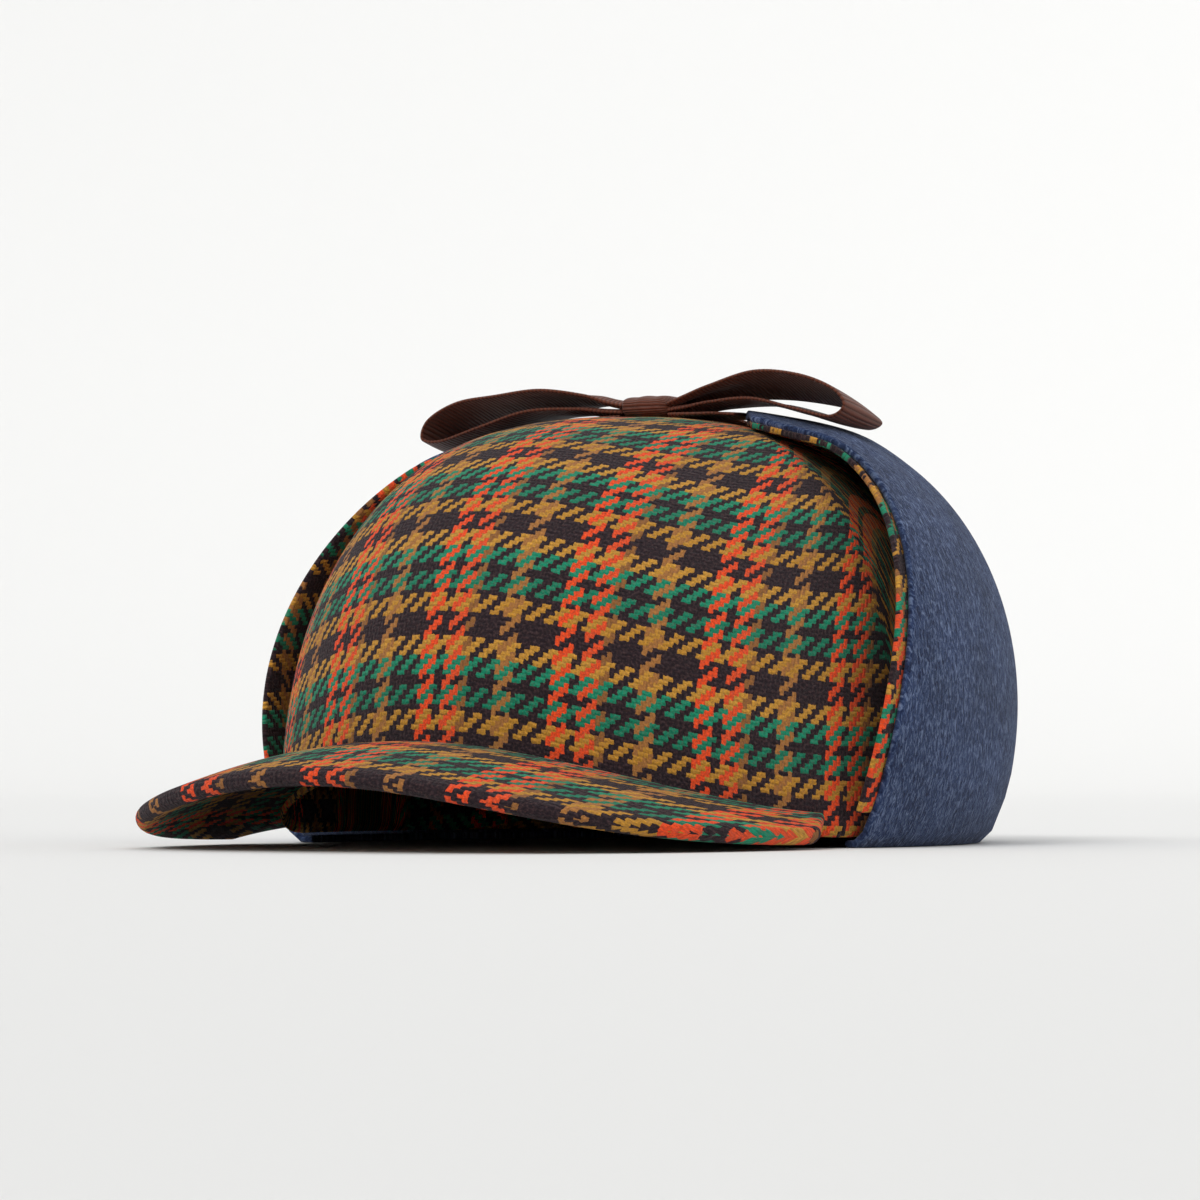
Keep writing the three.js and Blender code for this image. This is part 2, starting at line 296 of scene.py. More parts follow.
@dataclass(frozen=True)
class Tweed:
    """Brushed wool tweed, a gun check in two-and-two twill: matt, with a soft nap that blurs each yarn."""

    name: str = "wool_tweed_gun_check"
    pitch: float = 1.2  # one yarn; 29 mm is the check's repeat up the cloth
    warp: tuple[tuple[int, str], ...] = (
        (4, "#E64A1A"),
        (2, "#1E1218"),
        (4, "#DE4C20"),
        (2, "#8C5C2E"),
        (6, "#20141B"),
        (4, "#A36D36"),
        (8, "#1E1218"),
    )
    weft: tuple[tuple[int, str], ...] = (
        (4, "#C08B32"),
        (5, "#1F131A"),
        (4, "#B9842C"),
        (1, "#1F131A"),
        (4, "#067758"),
        (2, "#1B1117"),
        (4, "#0A8462"),
    )
    roughness: float = 0.92
    sheen: float = 0.05

    def material(self) -> bpy.types.Material:
        """Builds the cloth: the yarn on top gives the colour, and its round section the bump."""
        made = bpy.data.materials.new(self.name)
        made.use_nodes = True
        tree = made.node_tree
        shader = tree.nodes["Principled BSDF"]
        place = add(tree, "ShaderNodeUVMap", {"uv_map": CLOTH_UV}).outputs[0]
        # The yarns wander by about half a millimetre.
        wander = add(
            tree,
            "ShaderNodeTexNoise",
            links={"Vector": place, "Scale": 0.8, "Detail": 5.0, "Roughness": 0.7},
        )
        offset = add(
            tree,
            "ShaderNodeVectorMath",
            {"operation": "MULTIPLY_ADD"},
            {0: wander.outputs["Color"], 1: (1.3, 1.3, 0), 2: place},
        )
        apart = add(tree, "ShaderNodeSeparateXYZ", links={0: offset.outputs[0]})
        across = calc(tree, "DIVIDE", apart.outputs[0], self.pitch)
        up = calc(tree, "DIVIDE", apart.outputs[1], self.pitch)
        end = calc(tree, "FLOOR", across)
        pick = calc(tree, "FLOOR", up)
        # Two over, two under, one step on at each pick, which draws the twill's diagonal.
        step = calc(tree, "FLOORED_MODULO", calc(tree, "SUBTRACT", end, pick), 4.0)
        warp_up = calc(tree, "LESS_THAN", step, 1.5)
        yarn = blended(
            tree, "MIX", warp_up, stripes(tree, pick, self.weft), stripes(tree, end, self.warp)
        )
        # Fibres of other shades in each yarn, about half a millimetre apart.
        fibre = add(
            tree,
            "ShaderNodeTexNoise",
            links={"Vector": place, "Scale": 1.7, "Detail": 4.0, "Roughness": 0.7},
        )
        shade = add(
            tree, "ShaderNodeMapRange", links={0: fibre.outputs[0], 1: 0.3, 2: 0.7, 3: 0.5, 4: 1.5}
        )
        mottled = blended(tree, "MULTIPLY", 1.0, yarn, shade.outputs[0])
        # The brushed nap lays a little tan over all, in patches.
        nap = add(tree, "ShaderNodeTexNoise", links={"Vector": place, "Scale": 1.4, "Detail": 4.0})
        veil = add(tree, "ShaderNodeMapRange", links={0: nap.outputs[0], 1: 0.45, 2: 0.75, 3: 0.0, 4: 0.3})
        colour = blended(tree, "MIX", veil.outputs[0], mottled, linear("#7A5A58"))
        warp_round = calc(tree, "SINE", calc(tree, "MULTIPLY", calc(tree, "FRACT", across), math.pi))
        weft_round = calc(tree, "SINE", calc(tree, "MULTIPLY", calc(tree, "FRACT", up), math.pi))
        high = calc(tree, "MULTIPLY", warp_round, warp_up)
        low = calc(tree, "MULTIPLY", weft_round, calc(tree, "SUBTRACT", 1.0, warp_up))
        fuzz = calc(tree, "MULTIPLY", fibre.outputs[0], 1.2)
        height = calc(tree, "ADD", calc(tree, "ADD", high, low), fuzz)
        bump = add(
            tree, "ShaderNodeBump", links={"Strength": 0.55, "Distance": 0.0007, "Height": height}
        )
        tree.links.new(colour, shader.inputs["Base Color"])
        tree.links.new(bump.outputs[0], shader.inputs["Normal"])
        shader.inputs["Roughness"].default_value = self.roughness
        shader.inputs["Sheen Weight"].default_value = self.sheen
        shader.inputs["Sheen Roughness"].default_value = 0.6
        shader.inputs["Specular IOR Level"].default_value = 0.2
        return made


@dataclass(frozen=True)
class MelangeWool:
    """Milled wool in a blue melange: felted, with pale and dark fibres that lie up the cloth."""

    name: str = "milled_wool_blue_melange"
    dark: str = "#111A33"
    middle: str = "#2C3B5E"
    pale: str = "#70809F"
    fibre_width: float = 0.8
    fibre_length: float = 2.4
    roughness: float = 0.95
    sheen: float = 0.08

    def material(self) -> bpy.types.Material:
        """Builds the felt: curled streaks of three blues, with the same streaks as its bump."""
        made = bpy.data.materials.new(self.name)
        made.use_nodes = True
        tree = made.node_tree
        shader = tree.nodes["Principled BSDF"]
        place = add(tree, "ShaderNodeUVMap", {"uv_map": CLOTH_UV}).outputs[0]
        stretched = add(
            tree,
            "ShaderNodeMapping",
            links={0: place, "Scale": (1 / self.fibre_width, 1 / self.fibre_length, 1)},
        )
        streak = add(
            tree,
            "ShaderNodeTexNoise",
            links={
                "Vector": stretched.outputs[0],
                "Scale": 1.0,
                "Detail": 4.0,
                "Roughness": 0.65,
                "Distortion": 1.1,
            },
        )
        ramp = add(tree, "ShaderNodeValToRGB", links={0: streak.outputs[0]})
        stops = ramp.color_ramp.elements
        stops[0].position = 0.34
        stops[0].color = linear(self.dark)
        stops[1].position = 0.70
        stops[1].color = linear(self.pale)
        stops.new(0.50).color = linear(self.middle)
        cloud = add(tree, "ShaderNodeTexNoise", links={"Vector": place, "Scale": 0.06, "Detail": 3.0})
        shade = add(
            tree, "ShaderNodeMapRange", links={0: cloud.outputs[0], 1: 0.3, 2: 0.7, 3: 0.82, 4: 1.16}
        )
        colour = blended(tree, "MULTIPLY", 1.0, ramp.outputs[0], shade.outputs[0])
        fine = add(tree, "ShaderNodeTexNoise", links={"Vector": place, "Scale": 2.2, "Detail": 3.0})
        height = calc(tree, "ADD", streak.outputs[0], calc(tree, "MULTIPLY", fine.outputs[0], 0.5))
        bump = add(
            tree, "ShaderNodeBump", links={"Strength": 0.6, "Distance": 0.0009, "Height": height}
        )
        tree.links.new(colour, shader.inputs["Base Color"])
        tree.links.new(bump.outputs[0], shader.inputs["Normal"])
        shader.inputs["Roughness"].default_value = self.roughness
        shader.inputs["Sheen Weight"].default_value = self.sheen
        shader.inputs["Sheen Roughness"].default_value = 0.5
        shader.inputs["Specular IOR Level"].default_value = 0.15
        return made


@dataclass(frozen=True)
class Grosgrain:
    """Woven viscose grosgrain: a dull silk gloss, broken by a rib across the ribbon at each pick."""

    name: str = "viscose_grosgrain_brown"
    # dark is the ribbon's brown in painted shade, and light is the same brown as lit, a painted highlight
    # on the rib crests
    dark: str = "#30150C"
    light: str = "#6A3623"
    rib: float = 1.15  # drawn a little coarser than the real 0.9 mm, so that it shows
    roughness: float = 0.55

    def material(self) -> bpy.types.Material:
        """Builds the ribbon: round ribs across its length, with painted shade in the furrows between them.
        """
        made = bpy.data.materials.new(self.name)
        made.use_nodes = True
        tree = made.node_tree
        shader = tree.nodes["Principled BSDF"]
        place = add(tree, "ShaderNodeUVMap", {"uv_map": CLOTH_UV}).outputs[0]
        apart = add(tree, "ShaderNodeSeparateXYZ", links={0: place})
        phase = calc(tree, "MULTIPLY", calc(tree, "DIVIDE", apart.outputs[1], self.rib), math.pi)
        ridge = calc(tree, "ABSOLUTE", calc(tree, "SINE", phase))
        fibre = add(tree, "ShaderNodeTexNoise", links={"Vector": place, "Scale": 3.0, "Detail": 3.0})
        slow_patches = add(tree, "ShaderNodeTexNoise", links={"Vector": place, "Scale": 0.12, "Detail": 2.0})
        # Painted shade: the rib profile mixes the shaded brown into the furrows and the lit brown onto the
        # crests; fibre noise and slow noise patches vary the tone
        mixed = calc(tree, "MULTIPLY_ADD", fibre.outputs[0], 0.45, calc(tree, "MULTIPLY", ridge, 0.55))
        tone = calc(tree, "MULTIPLY_ADD", slow_patches.outputs[0], 0.35, calc(tree, "SUBTRACT", mixed, 0.1))
        colour = blended(tree, "MIX", tone, linear(self.dark), linear(self.light))
        height = calc(tree, "MULTIPLY_ADD", fibre.outputs[0], 0.25, ridge)
        bump = add(
            tree, "ShaderNodeBump", links={"Strength": 0.7, "Distance": 0.0003, "Height": height}
        )
        tree.links.new(colour, shader.inputs["Base Color"])
        tree.links.new(bump.outputs[0], shader.inputs["Normal"])
        shader.inputs["Roughness"].default_value = self.roughness
        shader.inputs["Sheen Weight"].default_value = 0.05
        shader.inputs["Specular IOR Level"].default_value = 0.25
        return made

# ---------------------------------------------------------------- the hat's form


@dataclass
class Dome:
    """The crown's outer face, a superellipse from the rim to the top, which the flaps follow.

    Out from the middle it is cos(rise) and up from the rim sin(rise), both to the power
    2 / squareness. The rim arches over the forehead.
    """

    half_width: float = 84.0
    half_length: float = 104.0
    height: float = 109.5
    top_back: float = 6.0
    squareness: float = 2.6
    rim_back: float = 2.6
    rim_front_rise: float = 17.0
    rim_front_angle: float = math.radians(70)
    middle_y: float = 17.2

    def rim(self, angle: np.ndarray) -> np.ndarray:
        """Height of the crown's lower edge at angles from the front."""
        return self.rim_back + self.rim_front_rise * smooth(1 - np.abs(angle) / self.rim_front_angle)

    def out(self, rise: np.ndarray) -> np.ndarray:
        """How far out the face is at a rise, as a share of the rim's own reach."""
        return np.maximum(np.cos(rise * math.pi / 2), 0) ** (2 / self.squareness)

    def point(self, angle: np.ndarray, rise: np.ndarray) -> np.ndarray:
        """Points of the outer face at angles from the front and rises from 0 to 1."""
        up = np.maximum(np.sin(rise * math.pi / 2), 0) ** (2 / self.squareness)
        low = self.rim(angle)
        return np.stack(
            [
                self.half_width * self.out(rise) * np.sin(angle),
                self.middle_y - self.half_length * self.out(rise) * np.cos(angle) + self.top_back * up,
                low + (self.height - low) * up,
            ],
            axis=-1,
        )

    def over(self, angle: np.ndarray, rise: np.ndarray, distance: np.ndarray | float) -> np.ndarray:
        """Points at a distance out from the face, along its normal."""
        angle, rise = np.broadcast_arrays(angle, rise)
        step = 0.004
        base = np.maximum(rise, step)
        across = self.point(angle + step, base) - self.point(angle - step, base)
        upward = self.point(angle, base + step) - self.point(angle, base - step)
        normal = unit(np.cross(across, upward))
        normal = np.where((rise > 0.995)[..., None], np.array([0.0, 0.0, 1.0]), normal)
        return self.point(angle, rise) + normal * np.asarray(distance)[..., None]

    def height_at(self, x: np.ndarray, y: np.ndarray) -> np.ndarray:
        """Height of the outer face over points of the plan, found by six rounds of correction."""
        up = np.ones_like(x)
        for _ in range(6):
            back = y - self.middle_y - self.top_back * up
            reach = np.hypot(x / self.half_width, back / self.half_length)
            lean = np.arccos(np.minimum(reach ** (self.squareness / 2), 1))
            up = np.sin(lean) ** (2 / self.squareness)
        return self.rim_back + (self.height - self.rim_back) * up


@dataclass
class Crown:
    """The tweed dome, hollow and open below."""

    dome: Dome
    wall: float = 2.2
    arc: float = 165.0  # about the length of the cloth from the rim to the top
    columns: int = 220
    rows: int = 96
    turn_start: float = math.radians(80)
    turn_span: float = math.radians(20)
    top_start: float = 0.72
    top_span: float = 0.2

    def build(self, tweed: bpy.types.Material) -> bpy.types.Object:
        """Makes the crown: two offset domes that meet in a rounded lower edge."""
        half = self.wall / 2
        low = np.array(EDGE_CROWD) * half / self.arc
        rise = np.concatenate([low, np.linspace(half / self.arc, 1, self.rows)])[:, None]
        full = np.sqrt(np.clip(1 - (1 - np.minimum(rise * self.arc / half, 1)) ** 2, 0, 1))
        angle = np.linspace(-math.pi, math.pi, self.columns + 1)[None, :]
        soft = self.easing(angle, rise)
        outer = self.dome.over(angle, rise, -half + half * full + soft)
        inner = self.dome.over(angle, rise, -half - half * full + soft)
        place = (self.cloth(outer, angle, rise), self.cloth(inner, angle, rise))
        piece = sheet("crown_tweed", (outer, inner), place, tweed)
        return finish_piece(piece, "tweed", "crown")

    def cloth(self, face: np.ndarray, angle: np.ndarray, rise: np.ndarray) -> np.ndarray:
        """Its rows climb from the rim in front, run straight back over the top, and go down behind.
        The turn between front and back is under the ear flaps.

        Args:
            face: the grid of points.
            angle: each column's angle from the front.
            rise: each row's rise, from 0 at the rim to 1 at the top.

        Returns:
            The place on the cloth of each point.
        """
        mean_reach = (self.dome.half_width + self.dome.half_length) / 2
        behind = smooth((np.abs(angle) - self.turn_start) / self.turn_span)
        from_middle = angle + (np.sign(angle) * (math.pi - np.abs(angle)) - angle) * behind
        around = from_middle * mean_reach * self.dome.out(rise)
        climb = arc_lengths(face, 0) + CLOTH_START
        top = climb[-1, self.columns // 2]
        climb = climb + (top + climb[-1:] - 2 * climb) * behind
        side = np.stack([around, climb], axis=-1)
        ahead = face[..., 1] - face[-1, 0, 1]
        flat = np.stack([face[..., 0] * mean_reach / self.dome.half_width, top + ahead], axis=-1)
        over_top = smooth((rise - self.top_start) / self.top_span)[..., None]
        return side + (flat - side) * over_top

    def easing(self, angle: np.ndarray, rise: np.ndarray) -> np.ndarray:
        """Slow swells of half a millimetre, which eased cloth keeps, fading at rim and top."""
        fade = np.sin(math.pi * np.clip(rise, 0, 1)) ** 0.7
        swell = 0.32 * np.sin(3 * angle + 0.6) * np.sin(5.1 * rise + 0.4)
        ripple = 0.16 * np.sin(7 * angle + 9.0 * rise)
        return -0.3 * fade + (swell + ripple) * fade


@dataclass
class Peak:
    """The stiffened tweed peak, a thin padded blade with a rounded edge."""

    dome: Dome
    half_width: float = 84.0
    root_end: float = -38.0
    reach: float = 113.0
    squareness: float = 2.7
    thick: float = 4.4
    root_angle: float = math.radians(65.5)
    root_lift: float = 3.6
    edge_front: float = 16.5
    edge_side: float = 2.9
    crest: float = 2.2
    sweep: float = math.radians(84)
    blade_length: float = 46.0
    edge_length: float = 250.0

    def middle(self, across: np.ndarray, out: np.ndarray) -> np.ndarray:
        """The blade's middle surface: straight from its root to a squarish oval edge, with a crest."""
        angle = across * self.root_angle
        root = self.dome.over(angle, np.full_like(angle, 0.02), 0.1)
        root[..., 2] = self.dome.rim(angle) + self.root_lift
        turn = across * self.sweep
        power = 2 / self.squareness
        side = np.sign(across) * np.abs(np.sin(turn)) ** power
        edge = np.stack(
            [
                self.half_width * side,
                self.dome.middle_y + self.root_end - self.reach * np.cos(turn) ** power,
                self.edge_side + (self.edge_front - self.edge_side) * np.cos(side * math.pi / 2) ** 1.3,
            ],
            axis=-1,
        )
        point = root * (1 - out[..., None]) + edge * out[..., None]
        point[..., 2] += self.crest * np.sin(math.pi * out) * np.cos(turn)
        return point

    def build(self, tweed: bpy.types.Material) -> bpy.types.Object:
        """Makes the blade's two faces, which meet in a round edge."""
        half = self.thick / 2
        out, out_full = edge_steps(26, self.blade_length, half)
        across, across_full = edge_steps(150, self.edge_length, half)
        grid = self.middle(*np.meshgrid(across * 2 - 1, out))
        # The root is held in the seam, so it stays flat there and rounds only at the front.
        front_full = np.where(out < 0.5, 0.85 + 0.15 * out_full, out_full)
        full = front_full[:, None] * across_full[None, :]
        full[0] = 0
        normal = grid_normals(grid)
        normal = normal * np.sign(normal[..., 2:3])
        faces = [grid + side * normal * (half * full)[..., None] for side in (1, -1)]
        place = [np.stack([grid[..., 0], -arc_lengths(face, 0)], axis=-1) for face in faces]
        piece = sheet("peak_tweed", tuple(faces), tuple(place), tweed)
        return finish_piece(piece, "tweed", "peak")


@dataclass
class EarFlap:
    """One ear flap, turned up: a wool cover outside, a tweed facing inside."""

    dome: Dome
    side: Side
    front_angle: float = 71.0
    front_top_angle: float = 83.0
    tip_angle: float = 106.0
    back_seam: float = -0.2
    tip_rise: float = 0.86
    back_rise: float = 0.44
    clear: float = 1.1
    bulge: float = 8.4
    front_bulge: float = 2.6
    belly_height: float = 0.62
    front_share: float = 0.14  # how far round the fuller front edge reaches
    draw: float = 0.72
    draw_start: float = 0.72
    cover: float = 1.9
    facing: float = 1.5
    layer_gap: float = 0.1
    facing_forward: float = 2.5  # degrees by which the facing shows past the cover
    roll: float = 1.5
    roll_width: float = 3.2
    cover_round: float = 185.0  # lengths of the cut cloth, round the crown and up it
    cover_up: float = 165.0
    facing_round: float = 190.0
    facing_up: float = 150.0

    def top(self, angle: np.ndarray) -> np.ndarray:
        """Where the flap ends, as a share of the crown's rise: high at the tip, low at the back."""
        tip = math.radians(self.tip_angle)
        before = self.tip_rise - 0.05 * ((tip - angle) / math.radians(22)) ** 2
        fall = 0.5 + 0.5 * np.cos(math.pi * (angle - tip) / (math.pi - tip))
        after = self.back_rise + (self.tip_rise - self.back_rise) * fall
        return np.where(angle < tip, before, after)

    def angle(self, share: np.ndarray, height: np.ndarray, forward: float) -> np.ndarray:
        """Angle from the front of a column at a height: the front edge leans back as it rises."""
        lean = (self.front_top_angle - self.front_angle) * smooth(height / 0.8)
        start = np.radians(self.front_angle + lean - forward)
        return start + (math.pi - math.radians(self.back_seam) - start) * share

    def stand_off(self, share: np.ndarray, height: np.ndarray) -> np.ndarray:
        """Distance from the crown: a belly between fold and tip, most at the front edge.

        The tie draws the last stretch below the tip in.
        """
        belly = np.maximum(np.sin(math.pi * np.clip(height, 0, 1) ** self.belly_height), 0)
        front = np.exp(-((share / self.front_share) ** 2))
        drawn_in = 1 - self.draw * smooth((height - self.draw_start) / (1 - self.draw_start))
        return (self.clear + (self.bulge + self.front_bulge * front) * belly) * drawn_in

    def slack(self, share: np.ndarray, height: np.ndarray) -> np.ndarray:
        """The drag lines of cloth pulled up to the tie, and slow swells, under a millimetre."""
        pull = np.exp(-(((height - 0.9) / 0.22) ** 2)) * np.exp(-(((share - 0.18) / 0.2) ** 2))
        drag = 0.55 * pull * np.sin(46 * share + 5 * height)
        swell = 0.45 * np.sin(9 * share + 2.2) * np.sin(math.pi * height) * np.sin(5 * height + share * 4)
        return drag + swell

    def shell(self, share: np.ndarray, height: np.ndarray, depth: float, forward: float) -> np.ndarray:
        """Points of the flap at a depth over its inner face."""
        angle = self.angle(share, height, forward)
        off = self.stand_off(share, height) + self.slack(share, height) + depth
        return self.dome.over(angle, height * self.top(angle), off)

    def thicken(
        self, name: str, grid: np.ndarray, half: float, full: np.ndarray, material: bpy.types.Material
    ) -> bpy.types.Object:
        """Gives a middle surface its thickness and puts it on the flap's side."""
        normal = grid_normals(grid)
        faces = [grid + side * normal * (half * full)[..., None] for side in (1, -1)]
        mean = (self.dome.half_width + self.dome.half_length) / 2
        around = np.arctan2(grid[..., 0], self.dome.middle_y - grid[..., 1]) * mean
        place = np.stack([around * self.side.value, arc_lengths(grid, 0) + CLOTH_START], axis=-1)
        for face in faces:
            face[..., 0] *= self.side.value
        return sheet(f"{name}_{self.side.word}", tuple(faces), (place, place), material)

    def build_cover(self, wool: bpy.types.Material) -> bpy.types.Object:
        """Makes the cover: flat under the crown's rim, round the fold on a Bezier curve, then up."""
        half = self.cover / 2
        share, share_full = edge_steps(92, self.cover_round, half)
        rows, row_full = edge_steps(74, self.cover_up, half)
        depth = self.facing + self.layer_gap + half
        # Shares of the rows that lie flat, and that have gone round the fold.
        fold_end, shell_start = 0.05, 0.085
        columns = share[None, :]
        shell_height = np.clip((rows - shell_start) / (1 - shell_start), 0, 1)[:, None]
        start_height = 0.06
        grid = self.shell(columns, start_height + (1 - start_height) * shell_height, depth, 0.0)
        at_zero = np.zeros_like(columns)
        foot = self.dome.over(self.angle(columns, at_zero, 0.0), at_zero, 0.0)
        outward = unit(self.dome.over(self.angle(columns, at_zero, 0.0), at_zero, 1.0) - foot)
        outward[..., 2] = 0
        foot[..., 2] = half
        first = self.shell(columns, at_zero + start_height, depth, 0.0)
        second = self.shell(columns, at_zero + start_height + 0.02, depth, 0.0)
        upward = unit(second - first)
        flat_start = foot - 2.4 * outward
        flat_end = foot + 0.6 * outward
        bend = np.clip((rows - fold_end) / (shell_start - fold_end), 0, 1)[:, None, None]
        curve = (
            (1 - bend) ** 3 * flat_end
            + 3 * (1 - bend) ** 2 * bend * (flat_end + 3.0 * outward)
            + 3 * (1 - bend) * bend**2 * (first - 3.2 * upward)
            + bend**3 * first
        )
        flat = flat_start + (flat_end - flat_start) * np.clip(rows / fold_end, 0, 1)[:, None, None]
        row_at = rows[:, None, None]
        grid = np.where(row_at < fold_end, flat, np.where(row_at < shell_start, curve, grid))
        full = row_full[:, None] * share_full[None, :]
        piece = self.thicken("ear_flap_wool", grid, half, full, wool)
        return finish_piece(piece, "wool", f"ear_flap_cover_{self.side.word}")

    def build_facing(self, tweed: bpy.types.Material) -> bpy.types.Object:
        """Makes the facing, whose rolled front edge shows past the cover."""
        half = self.facing / 2
        share, share_full = edge_steps(92, self.facing_round, half)
        rows, row_full = edge_steps(70, self.facing_up, half)
        height = 0.02 + 0.975 * rows[:, None]
        columns = share[None, :] + 0 * height
        near_edge = np.exp(-((share[None, :] * self.facing_round / self.roll_width) ** 2))
        roll = self.roll * near_edge * np.sin(math.pi * np.clip(height, 0, 1)) ** 0.4
        angle = self.angle(columns, height, self.facing_forward)
        off = self.stand_off(columns, height) + self.slack(columns, height) + half + roll
        grid = self.dome.over(angle, height * self.top(angle), off)
        full = row_full[:, None] * share_full[None, :]
        piece = self.thicken("ear_flap_tweed", grid, half, full, tweed)
        return finish_piece(piece, "tweed", f"ear_flap_facing_{self.side.word}")


@dataclass
class Ribbon:
    """A run of grosgrain: a centre line with a width and a lift of its front edge at each point."""

    rows: np.ndarray  # columns x, y, z, width and lift of the front edge
    thick: float = 0.8
    steps: int = 150
    pleat: float = 1.3
    pleat_run: float = 16.0
    pleated_end: bool = False
    fork: float = 0.0  # depth of the slanted cut at its free end

    def faces(self) -> tuple[tuple[np.ndarray, np.ndarray], tuple[np.ndarray, np.ndarray]]:
        """The ribbon's two faces and their places on the cloth.

        The width lies along Y, with its front edge lifted over its back edge. Near the knot it
        is pleated: a cosine across the width, which fades along the run.
        """
        line = spline(self.rows, self.steps)
        centre, width, lift = line[:, :3], line[:, 3], line[:, 4]
        along = unit(np.gradient(centre, axis=0))
        across = unit(np.array([0.0, 1.0, 0.0]) - along * along[:, 1:2])
        up = np.cross(along, across)
        half = self.thick / 2
        steps, full = edge_steps(26, float(width.mean()), half)
        place = steps - 0.5
        run = np.concatenate([[0], np.cumsum(np.linalg.norm(np.diff(centre, axis=0), axis=1))])
        fade = np.exp(-((run / self.pleat_run) ** 2))
        if self.pleated_end:
            fade = fade + np.exp(-(((run[-1] - run) / self.pleat_run) ** 2))
        pleats = self.pleat * fade[:, None] * np.cos(2 * math.pi * place * 1.5)[None, :]
        cup = 0.5 * (1 - fade[:, None]) * (place[None, :] ** 2) * 4
        middle = centre[:, None, :] + across[:, None, :] * (place[None, :] * width[:, None])[..., None]
        middle = middle + up[:, None, :] * (pleats - cup)[..., None]
        middle[..., 2] += (0.5 - place[None, :]) * lift[:, None]
        cut = self.fork * (place[None, :] + 0.5) * smooth((run[:, None] - run[-1] * 0.5) / (run[-1] * 0.5))
        middle = middle - along[:, None, :] * cut[..., None]
        ends = np.minimum(np.minimum(run, run[-1] - run) / half, 1)
        thickness = half * np.sqrt(np.clip(1 - (1 - ends) ** 2, 0, 1))[:, None] * full[None, :]
        normal = grid_normals(middle)
        both = tuple(middle + sign * normal * thickness[..., None] for sign in (1, -1))
        cloth = np.stack([place[None, :] * width[:, None], run[:, None] + 0 * place[None, :]], axis=-1)
        return both, (cloth, cloth)

    def build(
        self, name: str, side: Side, node: str, grosgrain: bpy.types.Material
    ) -> bpy.types.Object:
        """Makes the run of ribbon on its side of the hat."""
        faces, cloth = self.faces()
        for face in faces:
            face[..., 0] *= side.value
        piece = sheet(f"{name}_{side.word}", faces, cloth, grosgrain)
        return finish_piece(piece, "ribbon", node)


